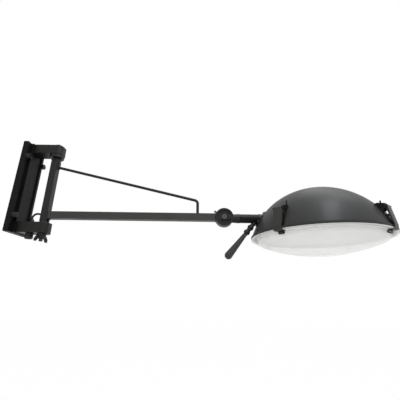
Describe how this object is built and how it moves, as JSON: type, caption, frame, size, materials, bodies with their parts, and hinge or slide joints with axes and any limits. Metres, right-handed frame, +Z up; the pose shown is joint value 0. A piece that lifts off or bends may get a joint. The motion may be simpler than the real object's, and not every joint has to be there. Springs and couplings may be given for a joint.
{
  "type": "wall lamp",
  "caption": "Swing-arm wall lamp: wall bracket with a vertical pivot, square arm with a stay rod, tilting knuckle with handle, and a dome shade with a clipped glass bowl.",
  "frame": {"origin": "middle of the wall plate's back face, which lies on the wall", "axes": "+X straight out from the wall along the arm, +Z up, +Y to the left when facing the wall's outside"},
  "size_m": [1.0878, 0.3892, 0.3569],
  "materials": {
    "black_paint": "satin black",
    "dark_steel": "blackened",
    "plated_steel": "zinc plated",
    "gland_plastic": "moulded",
    "rubber": "matt",
    "lead_sheath": "matt sheath",
    "terminal_plastic": "moulded",
    "grip_plastic": "turned, satin",
    "holder_white": "glazed white",
    "cap_brass": "plain",
    "clear_glass": "clear",
    "opal_glass": "satin white"
  },
  "bodies": {
    "wall": {"wall_plate": "black_paint", "housing_pan": "black_paint", "housing_bolts": "dark_steel", "bracket_web": "black_paint", "upper_bracket_arm": "black_paint", "lower_bracket_arm": "black_paint", "pivot_bolt": "dark_steel", "upper_disc": "black_paint", "lower_disc": "dark_steel", "gland_body": "gland_plastic", "gland_locknut": "gland_plastic", "gland_nut": "gland_plastic", "gland_seal": "rubber", "terminal_block": "terminal_plastic", "lead_grommet": "rubber", "swivel_lead": "lead_sheath"},
    "pivot_nut": {"pivot_wing_nut": "dark_steel"},
    "arm": {"tube_grommet": "rubber", "pivot_tube": "black_paint", "upper_tube_plug": "black_paint", "lower_tube_plug": "black_paint", "swing_arm": "black_paint", "arm_gusset": "black_paint", "stay_rod": "black_paint", "stay_lug": "black_paint", "knuckle_disc": "black_paint", "knuckle_bolt": "dark_steel"},
    "knuckle_nut": {"knuckle_lever_nut": "dark_steel"},
    "head": {"tilt_neck": "black_paint", "stem_tube": "black_paint", "flange_screws": "dark_steel", "saddle_flange": "black_paint", "handle_stud": "black_paint", "handle_grip": "grip_plastic", "lamp_nipple": "plated_steel", "nipple_nut": "plated_steel", "lampholder_shell": "plated_steel", "lampholder_core": "holder_white", "bulb_cap": "cap_brass", "bulb_glass": "clear_glass", "clip_rivets_front_left": "dark_steel", "clip_bracket_front_left": "black_paint", "clip_pin_front_left": "dark_steel", "clip_rivets_rear_left": "dark_steel", "clip_bracket_rear_left": "black_paint", "clip_pin_rear_left": "dark_steel", "clip_rivets_rear_right": "dark_steel", "clip_bracket_rear_right": "black_paint", "clip_pin_rear_right": "dark_steel", "clip_rivets_front_right": "dark_steel", "clip_bracket_front_right": "black_paint", "clip_pin_front_right": "dark_steel", "shade_dome": "black_paint", "seat_ring": "black_paint", "glass_gasket": "rubber", "glass_bowl": "opal_glass"},
    "clip_front_left": {"clip_strap_front_left": "black_paint"},
    "clip_rear_left": {"clip_strap_rear_left": "black_paint"},
    "clip_rear_right": {"clip_strap_rear_right": "black_paint"},
    "clip_front_right": {"clip_strap_front_right": "black_paint"}
  },
  "joints": [
    {"name": "arm_swing", "type": "hinge", "parent": "wall", "child": "arm", "pos_m": [0.0835, 0, 0], "axis": [0, 0, 1], "range_deg": [-75, 75], "deforming": ["swivel_lead"]},
    {"name": "head_tilt", "type": "hinge", "parent": "arm", "child": "head", "pos_m": [0.617, 0, -0.0835], "axis": [0, 1, 0], "range_deg": [-40, 40]},
    {"name": "pivot_nut_turn", "type": "hinge", "parent": "wall", "child": "pivot_nut", "pos_m": [0.0835, 0, -0.144], "axis": [0, 0, 1], "continuous": true},
    {"name": "knuckle_nut_turn", "type": "hinge", "parent": "arm", "child": "knuckle_nut", "pos_m": [0.617, 0.02, -0.0835], "axis": [0, 1, 0], "continuous": true},
    {"name": "clip_front_left_hinge", "type": "hinge", "parent": "head", "child": "clip_front_left", "pos_m": [1.03954, 0.11652, -0.086], "axis": [0.6225, -0.7826, 0], "range_deg": [0, 100]},
    {"name": "clip_rear_left_hinge", "type": "hinge", "parent": "head", "child": "clip_rear_left", "pos_m": [0.77653, 0.14649, -0.086], "axis": [0.7826, 0.6225, 0], "range_deg": [0, 100]},
    {"name": "clip_rear_right_hinge", "type": "hinge", "parent": "head", "child": "clip_rear_right", "pos_m": [0.74657, -0.11652, -0.086], "axis": [-0.6225, 0.7826, 0], "range_deg": [0, 100]},
    {"name": "clip_front_right_hinge", "type": "hinge", "parent": "head", "child": "clip_front_right", "pos_m": [1.00957, -0.14649, -0.086], "axis": [-0.7826, -0.6225, 0], "range_deg": [0, 100]}
  ]
}
